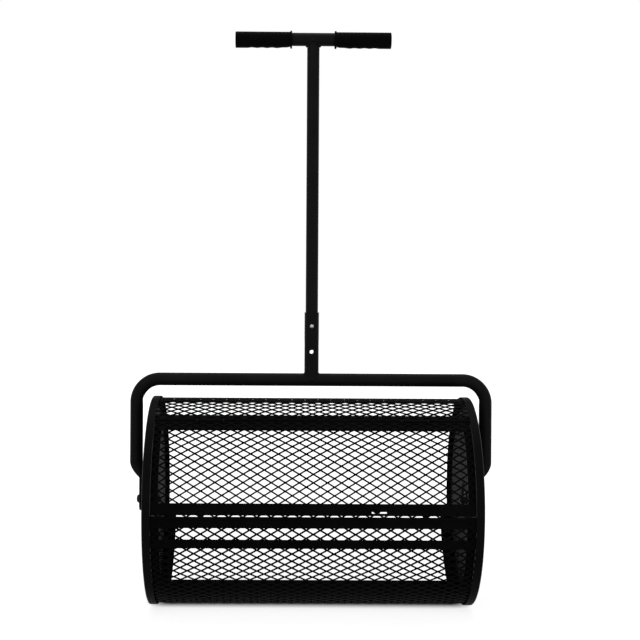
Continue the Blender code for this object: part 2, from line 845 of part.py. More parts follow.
def keeper(name, middle):
    """A finger on the drum's latch rail that stands in front of a hook of the latch bar."""
    data = prism(
        rectangle(middle - HOOK_HALF, middle + HOOK_HALF, -KEEPER_LOW, KEEPER_HIGH),
        lambda x, shift, radius: round_drum(x, 0.0, radius, shift),
        KEEPER_OUTER - LATCH_THICK,
        KEEPER_OUTER,
    )
    add_object(name, data, powder_coat(name), drum_axis, False)


for side, word in SIDES:
    latch_guide(word + "_latch_guide", side * GUIDE_X)
    keeper(word + "_keeper", side * HOOK_X)


# Yoke, its socket and the axle hardware
yoke_body("yoke", frame_axis)
socket = add_object(
    "pole_socket",
    turned(
        tube_profile(YOKE_TOP, SOCKET_TOP, SOCKET_OUTER, SOCKET_INNER),
        "Z",
        (0, 0, 0),
        32,
    ),
    powder_coat("pole_socket"),
    frame_axis,
)
saddle = add_object(
    "crossbar_saddle_cutter",
    turned(rod_profile(-0.05, 0.05, YOKE_TUBE_RADIUS + TOUCH), "X", (0, 0, YOKE_TOP), 40),
    None,
    frame_axis,
)
cut(socket, saddle)
for height, word in ((UPPER_HOLE, "upper"), (UPPER_HOLE - HOLE_SPACING, "lower")):
    drill = add_object(
        word + "_hole_cutter",
        turned(rod_profile(-0.05, 0.05, HOLE_RADIUS), "Y", (0, 0, height), 16),
        None,
        frame_axis,
    )
    cut(socket, drill)

AXLE_BORE = 0.0043
AXLE_RINGS = {
    "head_washer": (0.3328, 0.3344, 0.0085),
    "plate_washer": (0.3250, 0.3267, 0.0120),
    "spacer": (HUB_FACE + 0.0033, 0.3247, 0.0080),
    "inner_washer": (HUB_FACE - 0.0046, HUB_FACE - 0.0024, 0.0165),
}
NUT_START = HUB_FACE - 0.0127
NUT_END = HUB_FACE - 0.0049
BUSH_BODY = (HUB_FACE - SHEET, 0.0102)
BUSH_FLANGE = (HUB_FACE + TOUCH, HUB_FACE + 0.0030, 0.0160)

for side, word in SIDES:
    button_bolt(side, word + "_axle_bolt", frame_axis)
    for ring_name, (start, end, outer) in AXLE_RINGS.items():
        name = word + "_" + ring_name
        axle_ring(name, side, start, end, outer, AXLE_BORE, dark_zinc(name), frame_axis)
    name = word + "_lock_nut"
    nut = hexagon_block(name, side, NUT_START, NUT_END, NUT_FLATS, frame_axis)
    thread = [(side * u, r) for u, r in rod_profile(NUT_START - 0.01, NUT_END + 0.01, AXLE_BORE)]
    thread_data = turned(thread, "X", (0, 0, AXLE_HEIGHT), 16)
    cut(nut, add_object(word + "_nut_bore_cutter", thread_data, None, frame_axis))
    name = word + "_axle_bush"
    bush_profile = [
        (BUSH_BODY[0], AXLE_BORE),
        BUSH_BODY,
        (BUSH_FLANGE[0], BUSH_BODY[1]),
        (BUSH_FLANGE[0], BUSH_FLANGE[2]),
        (BUSH_FLANGE[1], BUSH_FLANGE[2]),
        (BUSH_FLANGE[1], AXLE_BORE),
    ]
    bush = turned([(side * u, r) for u, r in bush_profile], "X", (0, 0, AXLE_HEIGHT), 24)
    add_object(name, bush, black_nylon(name), drum_axis)


# Handle: pole, T-bar, grips, and the spring button that locks the pole in the socket
pole = add_object(
    "pole",
    turned(
        tube_profile(POLE_BOTTOM, T_BAR_HEIGHT, POLE_OUTER, POLE_INNER),
        "Z",
        (0, 0, 0),
        32,
    ),
    powder_coat("pole"),
    handle_axis,
)
pole_top_cutter = add_object(
    "pole_top_cutter",
    turned(rod_profile(-0.05, 0.05, T_BAR_OUTER + TOUCH), "X", (0, 0, T_BAR_HEIGHT), 40),
    None,
    handle_axis,
)
cut(pole, pole_top_cutter)
button_hole_cutter = add_object(
    "button_hole_cutter",
    turned(rod_profile(-0.05, 0, HOLE_RADIUS), "Y", (0, 0, UPPER_HOLE), 16),
    None,
    handle_axis,
)
cut(pole, button_hole_cutter)

t_bar_profile = tube_profile(-T_BAR_HALF, T_BAR_HALF, T_BAR_OUTER, T_BAR_INNER)
add_object(
    "t_bar",
    turned(t_bar_profile, "X", (0, 0, T_BAR_HEIGHT), 32),
    powder_coat("t_bar"),
    handle_axis,
)
for side, word in SIDES:
    grip(side, word + "_grip", handle_axis)

BUTTON_TIP = SOCKET_OUTER + BUTTON_PROUD
BUTTON_BACK = 0.0096
button_profile = [
    (-BUTTON_TIP, 0),
    (-BUTTON_TIP + 0.0003, 0.0018),
    (-BUTTON_TIP + 0.0015, BUTTON_RADIUS),
    (-BUTTON_BACK, BUTTON_RADIUS),
    (-BUTTON_BACK, 0),
]
add_object(
    "snap_button",
    turned(button_profile, "Y", (0, 0, UPPER_HOLE), 16),
    bright_steel("snap_button"),
    button_axis,
)


SPRING_THICK = 0.0008
SPRING_HALF_WIDTH = 0.0035
SPRING_LEG = 0.0088
SPRING_BOTTOM = POLE_BOTTOM + 0.008
SPRING_ARCH = 0.5480


def spring_strip(name, path, carrier):
    """A flat strip of spring steel along (y, z) points inside the pole."""
    data = bmesh.new()
    rings = []
    for k, (y, z) in enumerate(path):
        before = path[max(k - 1, 0)]
        after = path[min(k + 1, len(path) - 1)]
        along = Vector((0, after[0] - before[0], after[1] - before[1])).normalized()
        across = Vector((0, along.z, -along.y)) * (SPRING_THICK / 2)
        spot = Vector((0, y, z))
        ring = []
        for x, sign in ((-1, -1), (1, -1), (1, 1), (-1, 1)):
            corner = spot + sign * across + Vector((x * SPRING_HALF_WIDTH, 0, 0))
            ring.append(data.verts.new(corner))
        rings.append(ring)
    close_rings(data, rings)
    add_object(name, data, bright_steel(name), carrier)


# The button's own leaf moves in with it, below the arch that springs it back
spring_strip(
    "snap_leaf",
    [(-SPRING_LEG, SPRING_BOTTOM), (-SPRING_LEG, SPRING_ARCH - TOUCH)],
    button_axis,
)
arch_steps = 8
arch = [
    (
        -SPRING_LEG * math.cos(math.pi * step / arch_steps),
        SPRING_ARCH + SPRING_LEG * math.sin(math.pi * step / arch_steps),
    )
    for step in range(arch_steps + 1)
]
spring_strip("snap_spring", arch + [(SPRING_LEG, SPRING_BOTTOM)], handle_axis)
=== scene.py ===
import json
import math

import bmesh
import bpy
from mathutils import Matrix, Vector


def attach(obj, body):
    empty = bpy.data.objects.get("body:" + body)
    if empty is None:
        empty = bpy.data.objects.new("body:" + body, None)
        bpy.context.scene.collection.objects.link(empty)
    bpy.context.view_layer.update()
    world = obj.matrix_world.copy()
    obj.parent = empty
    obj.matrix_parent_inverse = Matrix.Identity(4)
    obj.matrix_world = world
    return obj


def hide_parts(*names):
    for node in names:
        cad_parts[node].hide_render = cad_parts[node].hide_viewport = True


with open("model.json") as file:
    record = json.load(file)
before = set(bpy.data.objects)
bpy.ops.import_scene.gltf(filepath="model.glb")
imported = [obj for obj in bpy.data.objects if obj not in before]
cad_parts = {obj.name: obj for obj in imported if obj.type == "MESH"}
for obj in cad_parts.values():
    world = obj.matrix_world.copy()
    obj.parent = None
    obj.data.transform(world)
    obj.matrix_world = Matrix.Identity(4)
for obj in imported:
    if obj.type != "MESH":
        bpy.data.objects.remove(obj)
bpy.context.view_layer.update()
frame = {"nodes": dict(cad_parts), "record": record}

# All sizes are in metres. Angles round the axle are in degrees: 0 at the front, 90 at the top.
SIDES = ((-1, "left"), (1, "right"))
AXLE_HEIGHT = 0.200
DRUM_FACE = 0.30725

# End caps. The disc and the hub are set in from the rim's face, and SLOPE_OFFSET is how far the
# inner side of a slope stands from its outer side.
CAP_RADIUS = 0.200
SHEET = 0.002
LIP_WIDTH = 0.015
DISC_DEPTH = 0.0055
HUB_DEPTH = 0.0020
RIM_INNER_RADIUS = 0.1860
DISC_RADIUS = 0.1780
HUB_FOOT_RADIUS = 0.0400
HUB_RADIUS = 0.0340
BUSH_HOLE_RADIUS = 0.0105
SLOPE_OFFSET = 0.0008
CAP_EDGE_RADIUS = 0.0030
CAP_EDGE_STEPS = 4
CAP_SEGMENTS = 168

# Faces of a cap that lean at least this far along the axle have the outer or the inner coat, both
# lighter copies of the cap's coat: painted light
CAP_FACE_NORMAL = 0.5
OUTER_COAT_INDEX = 1
INNER_COAT_INDEX = 2

# Expanded mesh: half of one opening's pitch each way. A strand is its width, and how far the
# opening stays from the cell's side corners and from its top and bottom ones. TOP_ROW is the row
# along the drum's highest line as the camera sees it, and over REAR_BLEND_ROWS past it the
# strands thin out to the rear ones.
HALF_PITCH_X = 0.01262
HALF_PITCH_ANGLE = 2.2575
FIRST_ROW_ANGLE = 46.3
TOP_ROW = 21
REAR_BLEND_ROWS = 8
MESH_RADIUS = 0.1960
MESH_THICKNESS = 0.0012
DOOR_STRAND = (0.0029, 0.0029, 0.0018)
DRUM_STRAND = (0.0032, 0.0031, 0.0019)
REAR_STRAND = (0.0022, 0.0024, 0.0014)
STRAND_TILT = 0.12
MESH_MARGIN = 0.0015
LEAST_WIDTH = 1e-6

# The hatch's panel and the drum's two, which meet at the seam. The rear panel reaches it at its
# last row, since its rows are spaced wider than the front's.
DOOR_MESH_HALF = 0.2917
DOOR_MESH_START = -2.4
DOOR_MESH_END = 54.2
DRUM_MESH_HALF = 0.3034
DRUM_MESH_START = 56.1
REAR_LAST_ROW = 86
SEAM_ANGLE = -101.2
FRONT_LAST_ROW = -22

# Strips bent to the drum's radius, with both edges' X and both ends' angles
STRIP_INNER = 0.1879
STRIP_OUTER = 0.1904
STRIP_EDGE_RADIUS = 0.0006
STRIP_EDGE_STEPS = 2
STRIP_STEP_ANGLE = 2
RIM_BAND_X = (0.27675, 0.29225)
RIM_BAND_ANGLES = (-1.42, -161.0)
DOOR_BAND_X = (0.27875, 0.29165)
DOOR_BAND_ANGLES = (0.17, 54.58)

# Yoke. A squareness of 2 is a round section, and a larger one is nearer to a rectangle.
TUBE_RADIUS = 0.0125
YOKE_HALF_WIDTH = 0.352
YOKE_TOP = 0.4330
BEND_RADIUS = 0.0450
PLATE_THICK = 0.0055
PLATE_HALF_WIDTH = 0.0185
PLATE_TOP = 0.2432
PLATE_BOTTOM = 0.1775
FULL_TUBE_FROM = 0.2725
TAPER_POWER = 1.8
PLATE_SQUARENESS = 5.0
TUBE_SQUARENESS = 2.0
PINCH_DEPTH = 0.0009
PINCH_TURN = 0.22
PINCH_SPREAD = 0.20
LEAST_FOOT_SHARE = 0.01
FOOT_STEPS = 12
TAPER_STEPS = 16
BEND_STEPS = 26
STEPS_PAST_BEND = 2
YOKE_SIDES = 44

# Axle bolts with domed heads and a hexagon socket for the key
BOLT_TIP = 0.29025
BOLT_RADIUS = 0.0040
BOLT_CHAMFER = 0.0006
HEAD_START = 0.3347
HEAD_END = 0.3380
HEAD_RADIUS = 0.0074
HEAD_TOP_RADIUS = 0.0038
HEAD_EDGE = 0.0002
KEY_FLATS = 0.0050
KEY_MOUTH_FLATS = 0.0053
KEY_MOUTH_DEPTH = 0.0001
KEY_CHAMFER_DEPTH = 0.0004
KEY_DEPTH = 0.0018
KEY_TIP_DEPTH = 0.0022
KEY_TIP_RADIUS = 0.0010
DOME_STEPS = 9
BOLT_SIDES = 48

# Handle
SOCKET_OUTER = 0.0140
POLE_OUTER = 0.0120
T_BAR_HEIGHT = 1.0956
T_BAR_OUTER = 0.0127

# Weld beads
SOCKET_BEAD_RADIUS = 0.0015
HANDLE_BEAD_RADIUS = 0.0026
BEAD_SINK = 0.0002
BEAD_RIPPLE = 0.12
BEAD_RIPPLES = 26
BEAD_SIDES = 10
BEAD_POINTS = 120

# Grips. FLANGE_RINGS are (distance from the grip's start, distance inside the flange's radius),
# and END_RINGS are (distance from the grip's end, distance inside the grip's radius).
GRIP_START = 0.0415
GRIP_END = 0.1515
GRIP_RADIUS = 0.0156
GRIP_DROP = 0.0013
GRIP_BORE_GAP = 0.0003
GRIP_END_WALL = 0.0016
GRIP_BODY_START = 0.0040
GRIP_STATIONS = 72
GRIP_SIDES = 56
FLANGE_RADIUS = 0.0172
FLANGE_RINGS = ((0.0, 0.0006), (0.0006, 0.0), (0.0026, 0.0), (0.0034, 0.0008))
END_RINGS = ((0.0005, 0.0002), (0.0002, 0.0005), (0.0, 0.0009))
END_ROUNDING = 0.0009
FINGER_LENGTH = 0.0195
FINGER_DEPTH = 0.0010
LAST_FINGER = 0.0877
NECK_LENGTH = 0.0240
NECK_RISE = 0.0024

# The camera of the photograph
CAMERA_PLACE = (-0.060, -2.353, 0.549)
CAMERA_YAW = -0.55
CAMERA_ROLL = 0.34
CAMERA_LENS = 67.95
CAMERA_SHIFT = 0.0429
SENSOR_WIDTH = 36.0

# Lights, as name, place, target, size and power
LIGHTS = (
    ("front_left_light", (-1.6, -2.6, 1.9), (0, 0, 0.45), 1.8, 26),
    ("front_right_light", (1.9, -2.4, 1.3), (0, 0, 0.45), 1.6, 16),
    ("top_light", (0.0, 0.4, 2.9), (0, 0, 0.3), 2.0, 24),
)
WORLD_LIGHT = 0.40

# Floor. Its glow rises from the first value to the second between the two distances.
FLOOR_HALF = 30.0
FLOOR_DROP = 0.0005
FLOOR_GREY = 0.46
CONTACT_HALF = 0.27
# The near glow is least along the drum's contact line, which paints a dark contact shadow on the
# floor there.
NEAR_GLOW = (0.02, 0.80)
NEAR_DISTANCES = (0.014, 0.050)
FAR_GLOW = (0.0, 0.30)
FAR_DISTANCES = (0.6, 3.0)

# Textures, as noise scale and detail. A grain is a scale, a strength and a depth.
DRIFT = (14, 4)
FINE = (240, 3)
GRAIN_DETAIL = 2
COLOUR_STOPS = (0.35, 0.65)
POWDER_GRAIN = (1100, 0.25, 0.0001)


# Materials

def new_material(name):
    material = bpy.data.materials.new(name)
    material.use_nodes = True
    tree = material.node_tree
    return material, tree, tree.nodes["Principled BSDF"]


def object_noise(tree, scale, detail):
    """A noise texture in the piece's own coordinates, in metres."""
    place = tree.nodes.new("ShaderNodeTexCoord")
    noise = tree.nodes.new("ShaderNodeTexNoise")
    noise.inputs["Scale"].default_value = scale
    noise.inputs["Detail"].default_value = detail
    tree.links.new(place.outputs["Object"], noise.inputs["Vector"])
    return noise.outputs["Fac"]


def ranged(tree, value, low, high, from_low=0.3, from_high=0.7):
    node = tree.nodes.new("ShaderNodeMapRange")
    node.inputs["From Min"].default_value = from_low
    node.inputs["From Max"].default_value = from_high
    node.inputs["To Min"].default_value = low
    node.inputs["To Max"].default_value = high
    tree.links.new(value, node.inputs["Value"])
    return node.outputs["Result"]


def colour_between(tree, value, dark, light):
    ramp = tree.nodes.new("ShaderNodeValToRGB")
    for element, stop, colour in zip(ramp.color_ramp.elements, COLOUR_STOPS, (dark, light)):
        element.position = stop
        element.color = (*colour, 1)
    tree.links.new(value, ramp.inputs["Fac"])
    return ramp.outputs["Color"]


def bumped(tree, shader, height, strength, distance):
    bump = tree.nodes.new("ShaderNodeBump")
    bump.inputs["Strength"].default_value = strength
    bump.inputs["Distance"].default_value = distance
    tree.links.new(height, bump.inputs["Height"])
    tree.links.new(bump.outputs["Normal"], shader.inputs["Normal"])


def finish_material(name, dark, light, roughness, specular, metallic=0.0, grain=POWDER_GRAIN):
    """A colour that drifts a little, a roughness that varies finely, and a fine grain."""
    material, tree, shader = new_material(name)
    colour = colour_between(tree, object_noise(tree, *DRIFT), dark, light)
    tree.links.new(colour, shader.inputs["Base Color"])
    dullness = ranged(tree, object_noise(tree, *FINE), *roughness)
    tree.links.new(dullness, shader.inputs["Roughness"])
    shader.inputs["Metallic"].default_value = metallic
    shader.inputs["Specular IOR Level"].default_value = specular
    scale, strength, depth = grain
    bumped(tree, shader, object_noise(tree, scale, GRAIN_DETAIL), strength, depth)
    return material


MATERIALS = {
    "powder_coat": finish_material(
        "satin_powder_coat",
        dark=(0.0050, 0.0050, 0.0051),
        light=(0.0072, 0.0072, 0.0073),
        roughness=(0.42, 0.54),
        specular=0.03,
    ),
    # Painted shade: a darker copy of the frame's coat for the drum and the hatch, which lie in
    # shadow.
    "drum_shaded_coat": finish_material(
        "drum_painted_shade_coat",
        dark=(0.0030, 0.0030, 0.0031),
        light=(0.0045, 0.0045, 0.0046),
        roughness=(0.46, 0.58),
        specular=0.007,
    ),
    # Painted shade: a still darker copy of the coat on the seam plate, a sheet at the mesh's seam
    # that also stands in for the shade under the drum.
    "plate_coat": finish_material(
        "shaded_powder_coat",
        dark=(0.0012, 0.0012, 0.0012),
        light=(0.0018, 0.0018, 0.0018),
        roughness=(0.60, 0.72),
        specular=0.010,
    ),
    # Painted shade: a darker copy of the coat on the caps' rims and slopes, which keeps the
    # pressed edges from catching light.
    "cap_coat": finish_material(
        "pressed_cap_shaded_coat",
        dark=(0.0038, 0.0038, 0.0039),
        light=(0.0054, 0.0054, 0.0055),
        roughness=(0.50, 0.62),
        specular=0.012,
    ),
    # Painted light: a lighter copy of the cap's coat on the inner faces, for the lit discs seen
    # through the mesh.
    "cap_inside_lit_coat": finish_material(
        "dusty_cap_coat",
        dark=(0.0062, 0.0062, 0.0063),
        light=(0.0090, 0.0090, 0.0090),
        roughness=(0.50, 0.62),
        specular=0.018,
    ),
    # Painted light: a lighter, glossier copy of the cap's coat on the outer faces, which brings
    # out the pressed shape.
    "cap_face_lit_coat": finish_material(
        "pressed_cap_face_lit_coat",
        dark=(0.0060, 0.0060, 0.0061),
        light=(0.0095, 0.0095, 0.0096),
        roughness=(0.36, 0.48),
        specular=0.10,
    ),
    "dark_zinc": finish_material(
        "blackened_zinc",
        dark=(0.012, 0.012, 0.013),
        light=(0.022, 0.022, 0.024),
        roughness=(0.52, 0.66),
        specular=0.1,
        metallic=0.40,
        grain=(700, 0.2, 0.0001),
    ),
    "spring_steel": finish_material(
        "plated_steel",
        dark=(0.34, 0.34, 0.35),
        light=(0.46, 0.46, 0.47),
        roughness=(0.26, 0.42),
        specular=0.5,
        metallic=1.0,
        grain=(900, 0.15, 0.00008),
    ),
    "grip_rubber": finish_material(
        "matte_rubber",
        dark=(0.0012, 0.0012, 0.0012),
        light=(0.0021, 0.0021, 0.0021),
        roughness=(0.66, 0.82),
        specular=0.02,
        grain=(1500, 0.5, 0.0002),
    ),
    "bush_nylon": finish_material(
        "black_nylon",
        dark=(0.0060, 0.0060, 0.0060),
        light=(0.0090, 0.0090, 0.0090),
        roughness=(0.48, 0.60),
        specular=0.1,
        grain=(500, 0.15, 0.0001),
    ),
}


def coat(slot, body, name):
    """The drum's and the hatch's powder coat is a darker copy of the frame's: painted shade for
    the bars, strips and mesh in the drum's shadow. The end caps get shaded and lit copies of it,
    and the seam plate a still darker copy, also painted shade."""
    if slot == "powder_coat" and name.endswith("_cap"):
        return MATERIALS["cap_coat"]
    if name == "seam_plate":
        return MATERIALS["plate_coat"]
    if slot == "powder_coat" and body in ("drum", "door"):
        return MATERIALS["drum_shaded_coat"]
    return MATERIALS[slot]


BODIES = frame["record"]["behaviour"]["bodies"]
BODY_OF = {name: body for body, names in BODIES.items() for name in names}
for row in frame["record"]["subparts"]:
    name = row["node"]
    node = frame["nodes"][name]
    node.data.materials.clear()
    node.data.materials.append(coat(row["material_slot"], BODY_OF[name], name))


# Mesh helpers

def add_piece(name, data, body, slot, replaced=(), sharp=35):
    """Links a piece drawn in place, and lets it ride on its body."""
    mesh = bpy.data.meshes.new(name)
    if isinstance(data, bmesh.types.BMesh):
        data.to_mesh(mesh)
        data.free()
    else:
        mesh.from_pydata(*data)
    mesh.shade_smooth()
    mesh.set_sharp_from_angle(angle=math.radians(sharp))
    mesh.materials.append(coat(slot, body, name))
    piece = bpy.data.objects.new(name, mesh)
    bpy.context.scene.collection.objects.link(piece)
    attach(piece, body)
    if replaced:
        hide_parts(*replaced)
    return piece


def round_drum(x, angle, radius):
    """A point at an angle and radius round the axle."""
    t = math.radians(angle)
    return Vector((x, -radius * math.cos(t), AXLE_HEIGHT + radius * math.sin(t)))


def rounded(points, radius, steps):
    """A closed outline with each corner turned into a small arc, at most 0.45 of an edge long."""
    made = []
    count = len(points)
    for k in range(count):
        before = Vector(points[k - 1])
        corner = Vector(points[k])
        after = Vector(points[(k + 1) % count])
        reach = min(radius, (before - corner).length * 0.45, (after - corner).length * 0.45)
        start = corner + (before - corner).normalized() * reach
        end = corner + (after - corner).normalized() * reach
        for step in range(steps + 1):
            s = step / steps
            made.append((1 - s) ** 2 * start + 2 * s * (1 - s) * corner + s * s * end)
    return [(p.x, p.y) for p in made]


def outward(verts, faces):
    """A bmesh of these faces whose normals all point out."""
    data = bmesh.new()
    made = [data.verts.new(v) for v in verts]
    for face in faces:
        data.faces.new([made[k] for k in face])
    bmesh.ops.recalc_face_normals(data, faces=data.faces)
    return data


def lofted(rings, closed=False):
    """Joins equal rings of points. An open row of rings is closed by its two end faces."""
    verts = [p for ring in rings for p in ring]
    size = len(rings[0])
    faces = []
    spans = len(rings) if closed else len(rings) - 1
    for i in range(spans):
        a, b = i * size, (i + 1) % len(rings) * size
        for k in range(size):
            n = (k + 1) % size
            faces.append((a + k, a + n, b + n, b + k))
    if not closed:
        faces.append(tuple(range(size)))
        faces.append(tuple(range(len(verts) - size, len(verts))))
    return outward(verts, faces)


def turned(profile, segments):
    """Turns a closed outline of (along, radius) points about the axle."""
    rings = []
    for k in range(segments):
        a = math.tau * k / segments
        c, s = math.cos(a), math.sin(a)
        rings.append([Vector((x, r * c, AXLE_HEIGHT + r * s)) for x, r in profile])
    return lofted(rings, closed=True)


# Expanded mesh

def row_angle(row):
    return FIRST_ROW_ANGLE + row * HALF_PITCH_ANGLE


def far_side(x, angle):
    """The point of the drum's rear that stands behind a front point in the camera's view."""
    rise = CAMERA_PLACE[2] - AXLE_HEIGHT
    distance = math.hypot(rise, CAMERA_PLACE[1])
    toward = math.atan2(rise, -CAMERA_PLACE[1])
    near = math.radians(angle) - toward
    normal = math.atan2(
        distance - MESH_RADIUS * math.cos(near), MESH_RADIUS * math.sin(near)
    )
    far = 2 * normal - near
    reach = []
    for turn in (near, far):
        square = distance**2 + MESH_RADIUS**2 - 2 * distance * MESH_RADIUS * math.cos(turn)
        reach.append(math.sqrt(square))
    spread = CAMERA_PLACE[0] + (x - CAMERA_PLACE[0]) * reach[1] / reach[0]
    return spread, math.degrees(far + toward)


def mesh_point(x, angle, limit):
    """A point of the sheet. Past the top, its rows and columns stand behind the front ones,
    because the photograph shows no rear strand between the front ones."""
    top = row_angle(TOP_ROW)
    if angle > top:
        x, angle = far_side(x, 2 * top - angle)
    return min(max(x, -limit), limit), angle


def expanded_faces(edge, start, end, front_strand):
    """The outer faces of a panel, as loops of points (x, angle, tilt height).

    Every cell is a rhombus with its opening in the middle and its four corners on the bonds.
    Openings sit at every second point of a grid of half pitches. The panel ends on its start
    and end angles and on its two side edges, with a plain margin inside each of them."""
    hx = HALF_PITCH_X
    ht = math.radians(HALF_PITCH_ANGLE) * MESH_RADIUS
    degrees = math.degrees(1 / MESH_RADIUS)
    columns = math.ceil(edge / hx) + 1
    first = math.floor((start - FIRST_ROW_ANGLE) / HALF_PITCH_ANGLE)
    last = math.ceil((end - FIRST_ROW_ANGLE) / HALF_PITCH_ANGLE)
    margin = MESH_MARGIN * degrees
    faces = []
    for row in range(first, last + 1):
        level = row_angle(row)
        rear = min(max((row - TOP_ROW) / REAR_BLEND_ROWS, 0.0), 1.0)
        strand, a, w = [f + (r - f) * rear for f, r in zip(front_strand, REAR_STRAND)]
        share = strand / 2 * math.hypot(1 / hx, 1 / ht)
        b = ht * (a / hx - share)
        c = hx * (w / ht - share)
        for column in range(-columns, columns + 1):
            if (row + column) % 2:
                continue
            x = column * hx

            def outer(i, j):
                angle = min(max(level + j * HALF_PITCH_ANGLE, start), end)
                return (*mesh_point(x + i * hx, angle, edge), 0.0)

            def inner(dx, dy, height):
                angle = min(max(level + dy * degrees, start + margin), end - margin)
                return (*mesh_point(x + dx, angle, edge - MESH_MARGIN), height * STRAND_TILT)

            right, top = outer(1, 0), outer(0, 1)
            left, bottom = outer(-1, 0), outer(0, -1)
            r1, r2 = inner(hx - a, b, b), inner(hx - a, -b, -b)
            l1, l2 = inner(a - hx, b, b), inner(a - hx, -b, -b)
            t1, t2 = inner(c, ht - w, -w), inner(-c, ht - w, -w)
            b1, b2 = inner(c, w - ht, w), inner(-c, w - ht, w)
            if r1[0] - l1[0] < MESH_MARGIN:
                if right[0] - left[0] > LEAST_WIDTH:
                    faces.append((right, top, left, bottom))
                continue
            faces += [
                (right, top, t1, r1),
                (top, left, l1, t2),
                (left, bottom, b2, l2),
                (bottom, right, r2, b1),
                (right, r1, r2),
                (top, t2, t1),
                (left, l2, l1),
                (bottom, b1, b2),
            ]
    return faces


def expanded_mesh(panels):
    """One closed mesh from one or more panels of expanded metal."""
    verts = []
    faces = []
    for faces_of_panel in panels:
        places = {}
        points = []
        loops = []
        for loop in faces_of_panel:
            ring = []
            for x, angle, height in loop:
                key = (round(x, 6), round(angle, 4))
                if key not in places:
                    places[key] = len(points)
                    points.append((x, angle, height))
                if places[key] not in ring:
                    ring.append(places[key])
            if len(ring) > 2:
                loops.append(ring)
        count = len(points)
        base = len(verts)
        for layer in (0.5, -0.5):
            for x, angle, height in points:
                radius = MESH_RADIUS + height + layer * MESH_THICKNESS
                verts.append(round_drum(x, angle, radius))
        used = set()
        for ring in loops:
            used.update(zip(ring, ring[1:] + ring[:1]))
            faces.append([base + k for k in ring])
            faces.append([base + count + k for k in reversed(ring)])
        for p, q in used:
            if (q, p) not in used:
                faces.append([base + q, base + p, base + count + p, base + count + q])
    return verts, [], faces


hatch_panel = expanded_faces(DOOR_MESH_HALF, DOOR_MESH_START, DOOR_MESH_END, DOOR_STRAND)
rear_panel = expanded_faces(
    DRUM_MESH_HALF, DRUM_MESH_START, row_angle(REAR_LAST_ROW), DRUM_STRAND
)
front_panel = expanded_faces(
    DRUM_MESH_HALF, SEAM_ANGLE, row_angle(FRONT_LAST_ROW), DRUM_STRAND
)
for name, panels, body, replaced in (
    ("door_expanded_mesh", [hatch_panel], "door", "door_mesh"),
    ("drum_expanded_mesh", [rear_panel, front_panel], "drum", "drum_mesh"),
):
    add_piece(name, expanded_mesh(panels), body, "powder_coat", [replaced], sharp=60)


# End caps, with the pressed edges rounded

def end_cap_profile():
    """The pan's section as (along, radius): its outer side from lip to hub, then the inner."""
    face = DRUM_FACE
    disc = face - DISC_DEPTH
    hub = face - HUB_DEPTH
    lip = CAP_RADIUS - SHEET
    return [
        (face - LIP_WIDTH, lip),
        (face - LIP_WIDTH, CAP_RADIUS),
        (face, CAP_RADIUS),
        (face, RIM_INNER_RADIUS),
        (disc, DISC_RADIUS),
        (disc, HUB_FOOT_RADIUS),
        (hub, HUB_RADIUS),
        (hub, BUSH_HOLE_RADIUS),
        (hub - SHEET, BUSH_HOLE_RADIUS),
        (hub - SHEET, HUB_RADIUS - SLOPE_OFFSET),
        (disc - SHEET, HUB_FOOT_RADIUS - SLOPE_OFFSET),
        (disc - SHEET, DISC_RADIUS + SLOPE_OFFSET),
        (face - SHEET, RIM_INNER_RADIUS + SLOPE_OFFSET),
        (face - SHEET, lip),
    ]


for side, word in SIDES:
    outline = rounded(end_cap_profile(), CAP_EDGE_RADIUS, CAP_EDGE_STEPS)
    data = turned([(side * x, r) for x, r in outline], CAP_SEGMENTS)
    cap = add_piece(word + "_pressed_cap", data, "drum", "powder_coat", [word + "_end_cap"])
    # The outer and inner faces get the lit copies of the coat, painted light; the rest keeps the
    # shaded copy.
    cap.data.materials.append(MATERIALS["cap_face_lit_coat"])
    cap.data.materials.append(MATERIALS["cap_inside_lit_coat"])
    for face in cap.data.polygons:
        if side * face.normal.x > CAP_FACE_NORMAL:
            face.material_index = OUTER_COAT_INDEX
        elif side * face.normal.x < -CAP_FACE_NORMAL:
            face.material_index = INNER_COAT_INDEX


# Strips bent to the drum's radius

def arc_strip(name, side, reach, angles, body, replaced):
    near, far = [side * x for x in reach]
    start, end = angles
    corners = [(near, STRIP_INNER), (far, STRIP_INNER), (far, STRIP_OUTER), (near, STRIP_OUTER)]
    section = rounded(corners, STRIP_EDGE_RADIUS, STRIP_EDGE_STEPS)
    steps = int(abs(end - start) / STRIP_STEP_ANGLE) + 1
    rings = []
    for step in range(steps + 1):
        angle = start + (end - start) * step / steps
        rings.append([round_drum(x, angle, r) for x, r in section])
    add_piece(name, lofted(rings), body, "powder_coat", [replaced])


for side, word in SIDES:
    arc_strip(
        word + "_rim_band", side, RIM_BAND_X, RIM_BAND_ANGLES, "drum", word + "_rim_strip"
    )
    arc_strip(
        "door_" + word + "_band",
        side,
        DOOR_BAND_X,
        DOOR_BAND_ANGLES,
        "door",
        "door_" + word + "_bar",
    )


# Yoke

def yoke_section(centre, along, thick, wide, squareness, pinch):
    """One cross-section. A pinch pulls in the wall on the inside of a bend."""
    across = Vector((along.z, 0, -along.x))
    ring = []
    for k in range(YOKE_SIDES):
        a = math.tau * k / YOKE_SIDES
        c, s = math.cos(a), math.sin(a)
        u = math.copysign(abs(c) ** (2 / squareness), c) * thick
        v = math.copysign(abs(s) ** (2 / squareness), s) * wide
        u -= pinch * max(c, 0) ** 2
        ring.append(centre + across * u + Vector((0, v, 0)))
    return ring


